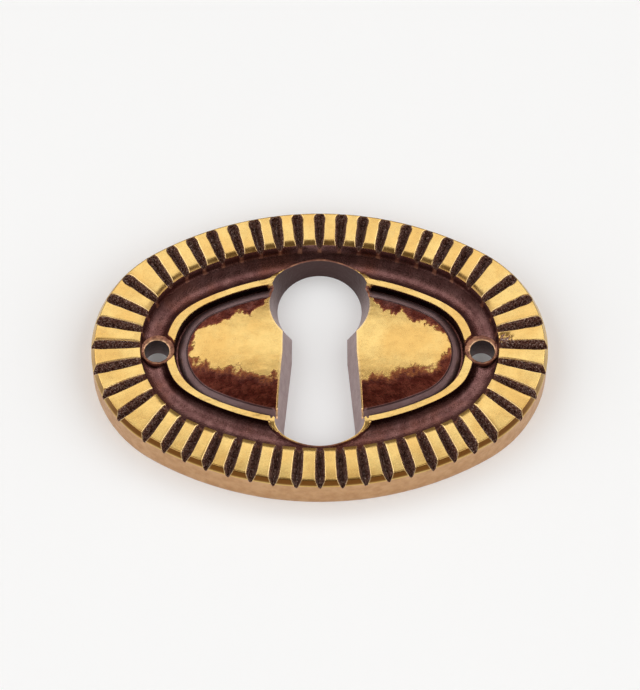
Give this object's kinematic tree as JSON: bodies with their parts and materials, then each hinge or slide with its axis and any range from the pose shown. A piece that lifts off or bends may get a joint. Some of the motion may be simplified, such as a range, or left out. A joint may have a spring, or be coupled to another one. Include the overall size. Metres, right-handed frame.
{
  "type": "keyhole escutcheon",
  "caption": "Oval cast escutcheon plate with a fluted rim, a cove and raised rib, a crowned centre panel, a keyhole opening and a pin hole at each end.",
  "frame": {"origin": "centre of the oval plate, on its flat back", "axes": "+X along the long axis of the oval, +Y towards the keyhole's round head, +Z out of the face"},
  "size_m": [0.045, 0.0308, 0.0041],
  "materials": {
    "escutcheon": "antiqued, with polished high places and dark patina in the hollows"
  },
  "bodies": {
    "root": {"escutcheon": "escutcheon"}
  },
  "joints": []
}
